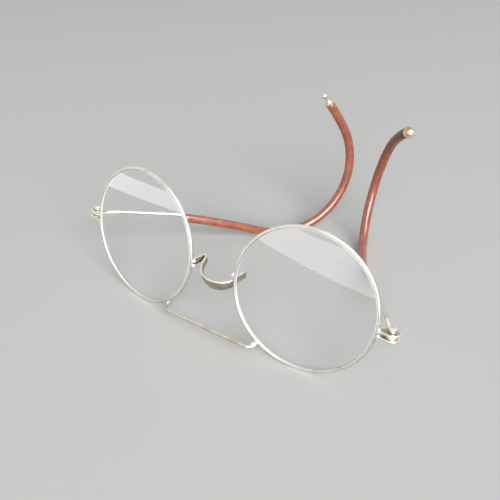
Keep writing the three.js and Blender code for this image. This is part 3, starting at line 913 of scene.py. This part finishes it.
cover_finish, graph, shader = new_finish("cover")
place = graph.add("ShaderNodeTexCoord", output="Object")
mottling = graph.ramp(graph.cloud(place, MOTTLE_SIZE, 4.0), 0.35, 0.68)
stains = graph.ramp(graph.cloud(place, STAIN_SIZE, 3.0), 0.52, 0.74)
grain = graph.cloud(place, GRAIN_SIZE, 3.0)
handled = graph.add("ShaderNodeAttribute", {"attribute_name": "handled"}, output="Fac")
# Real stains and the painted shade towards the tip both turn the colour to brown.
stain_and_shade = graph.math("MAXIMUM", stains * STAIN_SHARE, handled)
cover_colour = graph.mix(stain_and_shade, graph.mix(mottling, COVER_RED, COVER_ORANGE), COVER_STAIN_AND_SHADE)
graph.tree.links.new(cover_colour.socket, shader.inputs["Base Color"])
gloss_loss = 0.14 + 0.06 * mottling + 0.08 * grain + 0.5 * handled
graph.tree.links.new(gloss_loss.socket, shader.inputs["Roughness"])
graph.tree.links.new((1 - handled).socket, shader.inputs["Coat Weight"])
ripple = {"Height": grain + 2.0 * mottling, "Strength": 0.25, "Distance": RIPPLE_DEPTH * MM}
graph.tree.links.new(graph.add("ShaderNodeBump", {}, ripple).socket, shader.inputs["Normal"])
shader.inputs["Coat Roughness"].default_value = 0.08

for name in SIDES:
    line = temple_line(name, COVER_START - COVER_LIP[name], cover_ends[name], COVER_SPACING)
    radii = [COVER_RADIUS] * len(line)
    drawn_steps = round(COVER_DRAWN["length"] / COVER_SPACING)
    for step in range(drawn_steps):
        swell = math.sin(math.radians(90) * step / drawn_steps)
        radii[step] = COVER_DRAWN["radius"] + (COVER_RADIUS - COVER_DRAWN["radius"]) * swell
    radii[-1] = COVER_RADIUS - COVER_END_ROUNDING
    # Painted tip shade and gloss loss, rising towards the tip.
    wear_and_shade = [TIP_WEAR_AND_SHADE[name] * (point / len(line)) ** TIP_WEAR_AND_SHADE_FADE for point in range(len(line))]
    node = f"temple_cover_{name}"
    cover = drawn_wire(node, line, COVER_SIDES, cover_finish, girth=radii, handled=wear_and_shade)
    fit(f"hook_cover_{name}", cover, arms[name], f"{name}_temple", "cover", node)

# Tips: a turned and plated brass ferrule closes the end of each cover, its thin flange worn to the
# brass and its hub still bright; the right flange's brass is painted darker as shade. A small
# flared knob brazed to the wire keeps it on and is smooth behind the ear.

FLANGE_RADIUS = 1.85
FLANGE_LENGTH = 0.45
HUB_RADIUS = 1.0
FERRULE_NECK = 0.62
KNOB_RADIUS = 1.1
KNOB_FLARE = 1.65
KNOB_DOME = 0.65
TURNED_EDGE = 0.1
TIP_STEPS = 40
KNOB_STEPS = 14
# The right-hand brass colours are darker copies of the left: painted shade.
BRASS_POLISHED_RIGHT_SHADED = {"left": (0.62, 0.53, 0.4, 1), "right": (0.3, 0.2, 0.13, 1)}
BRASS_DULLED_RIGHT_SHADED = {"left": (0.47, 0.38, 0.27, 1), "right": (0.21, 0.13, 0.08, 1)}

ferrule_profile = [
    (0, 0),
    (FLANGE_RADIUS - TURNED_EDGE, 0),
    (FLANGE_RADIUS, TURNED_EDGE),
    (FLANGE_RADIUS, FLANGE_LENGTH - TURNED_EDGE),
    (FLANGE_RADIUS - TURNED_EDGE, FLANGE_LENGTH),
    (HUB_RADIUS, FLANGE_LENGTH),
    (FERRULE_NECK, FERRULE_LENGTH - TURNED_EDGE),
    (FERRULE_NECK - TURNED_EDGE, FERRULE_LENGTH),
    (0, FERRULE_LENGTH),
]
knob_profile = [(0, 0)]
for step in range(KNOB_STEPS):
    share = step / KNOB_STEPS
    knob_profile.append((WIRE_RADIUS + (KNOB_RADIUS - WIRE_RADIUS) * share, KNOB_FLARE * share))
for step in range(KNOB_STEPS + 1):
    angle = math.radians(90) * step / KNOB_STEPS
    radius = KNOB_RADIUS * math.cos(angle) if step < KNOB_STEPS else 0
    knob_profile.append((radius, KNOB_FLARE + KNOB_DOME * math.sin(angle)))
along = Vector((0, 1, 0))
for name in SIDES:
    worn_brass = nickel_finish(
        f"worn_brass_{name}", BRASS_POLISHED_RIGHT_SHADED[name], BRASS_DULLED_RIGHT_SHADED[name], 0.35, 0.65, sheen=0.6
    )
    tips = (
        ("tip_ferrule", ferrule_profile, cover_ends[name] + SEAT_GAP, worn_brass, "warm_nickel"),
        ("tip_ball", knob_profile, wire_ends[name] + SEAT_GAP, nickel, "nickel"),
    )
    for node, profile, distance, finish, slot in tips:
        tip = turned(f"{node}_{name}", profile, TIP_STEPS)
        tip.materials.append(finish)
        tip.materials.append(nickel)
        for face in tip.polygons:
            face.material_index = int(face.center.y > FLANGE_LENGTH)
        tip.set_sharp_from_angle(angle=math.radians(40))
        point, heading = temple_point(name, distance)
        lie = Matrix.Translation(point) @ along.rotation_difference(heading).to_matrix().to_4x4()
        tip_place = arms[name] @ lie
        fit(f"turned_{node}_{name}", tip, tip_place, f"{name}_temple", slot, f"{node}_{name}")

# Studio, in metres: a pale table in a white room, with a soft box beside the camera and a weak
# panel overhead. One more panel only shows as a sheen on glossy pieces, and the lenses mirror two
# low white boards. The camera stands as in the photograph.

TABLE_HALF = 2.3
AIM = Vector((0, 0, 0.02))
SOFT_BOX = Vector((2.383, -2.146, 1.67))
SHEEN_PANEL = Vector((1.265, -0.353, 2.11))
OVERHEAD_PANEL = Vector((0, 0.1, 1.0))
LEFT_BOARD = Vector((-0.161, -0.142, 0.002))
RIGHT_BOARD = Vector((0.003, -0.271, 0.002))
CAMERA_FROM_FRONT = Vector((0.110394, -0.140071, 0.121159))
LOOK_FROM_FRONT = Vector((0.010820, 0.001542, 0.009114))
CAMERA_LENS = 50.448
CAMERA_SENSOR = 36.0
TABLE_GREY = (0.6, 0.6, 0.59, 1)
ROOM_GREY = (0.12, 0.12, 0.12, 1)
ROOM_WHITE = (1.0, 1.0, 1.0, 1)

table_mesh = bpy.data.meshes.new("table")
corner_signs = ((-1, -1), (1, -1), (1, 1), (-1, 1))
table_corners = [(x * TABLE_HALF, y * TABLE_HALF, 0) for x, y in corner_signs]
table_mesh.from_pydata(table_corners, [], [(0, 1, 2, 3)])
table = bpy.data.objects.new("table", table_mesh)
bpy.context.scene.collection.objects.link(table)
table_finish, graph, shader = new_finish("table")
shader.inputs["Base Color"].default_value = TABLE_GREY
shader.inputs["Roughness"].default_value = 0.8
shader.inputs["Specular IOR Level"].default_value = 0.15
table_mesh.materials.append(table_finish)


def soft_panel(name, place, facing, size, power, mirrored=True, lights=True):
    """An oblong lamp that isn't seen itself.

    It can be hidden from mirroring surfaces, or made to show in them without lighting the rest.
    """
    lamp = bpy.data.lights.new(name, "AREA")
    lamp.shape = "RECTANGLE"
    lamp.size, lamp.size_y = size
    lamp.energy = power
    panel = bpy.data.objects.new(name, lamp)
    panel.location = place
    panel.rotation_mode = "QUATERNION"
    panel.rotation_quaternion = facing
    panel.visible_camera = False
    panel.visible_transmission = False
    panel.visible_glossy = mirrored
    panel.visible_diffuse = lights
    bpy.context.scene.collection.objects.link(panel)


def towards(direction):
    """The turn that faces a lamp in a direction, upright."""
    return Vector(direction).to_track_quat("-Z", "Y")


def face_up(angle):
    """The turn that faces a lamp upwards, its long side at this angle from X."""
    flipped = Matrix.Rotation(math.radians(180), 4, "X")
    return (Matrix.Rotation(math.radians(angle), 4, "Z") @ flipped).to_quaternion()


down = towards((0, 0, -1))
soft_panel("soft_box", SOFT_BOX, towards(AIM - SOFT_BOX), (3.24, 2.88), 246.0)
soft_panel("overhead_panel", OVERHEAD_PANEL, down, (1.2, 1.0), 1.6, mirrored=False)
soft_panel("sheen_panel", SHEEN_PANEL, towards(AIM - SHEEN_PANEL), (2.0, 1.0), 45.0, lights=False)
soft_panel("left_board", LEFT_BOARD, face_up(-48.7), (0.24, 0.058), 0.15)
soft_panel("right_board", RIGHT_BOARD, face_up(36.6), (0.32, 0.15), 0.5)

world = bpy.data.worlds.new("room")
world.use_nodes = True
graph = Graph(world.node_tree)
camera_ray = graph.add("ShaderNodeLightPath", output="Is Camera Ray")
mirrored_ray = camera_ray.beside("Is Glossy Ray")
through_ray = camera_ray.beside("Is Transmission Ray")
seen = graph.math("MAXIMUM", camera_ray, graph.math("MAXIMUM", mirrored_ray, through_ray))
room = graph.mix(seen, ROOM_GREY, ROOM_WHITE)
graph.tree.links.new(room.socket, graph.tree.nodes["Background"].inputs["Color"])
bpy.context.scene.world = world

eye_point = front_middle + CAMERA_FROM_FRONT
look_at = front_middle + LOOK_FROM_FRONT
camera_data = bpy.data.cameras.new("camera")
camera_data.lens = CAMERA_LENS
camera_data.sensor_width = CAMERA_SENSOR
camera_data.clip_start = 0.005
camera = bpy.data.objects.new("camera", camera_data)
camera.location = eye_point
camera.rotation_mode = "QUATERNION"
camera.rotation_quaternion = (look_at - eye_point).to_track_quat("-Z", "Y")
bpy.context.scene.collection.objects.link(camera)
bpy.context.scene.camera = camera
bpy.context.scene.view_settings.view_transform = "Standard"
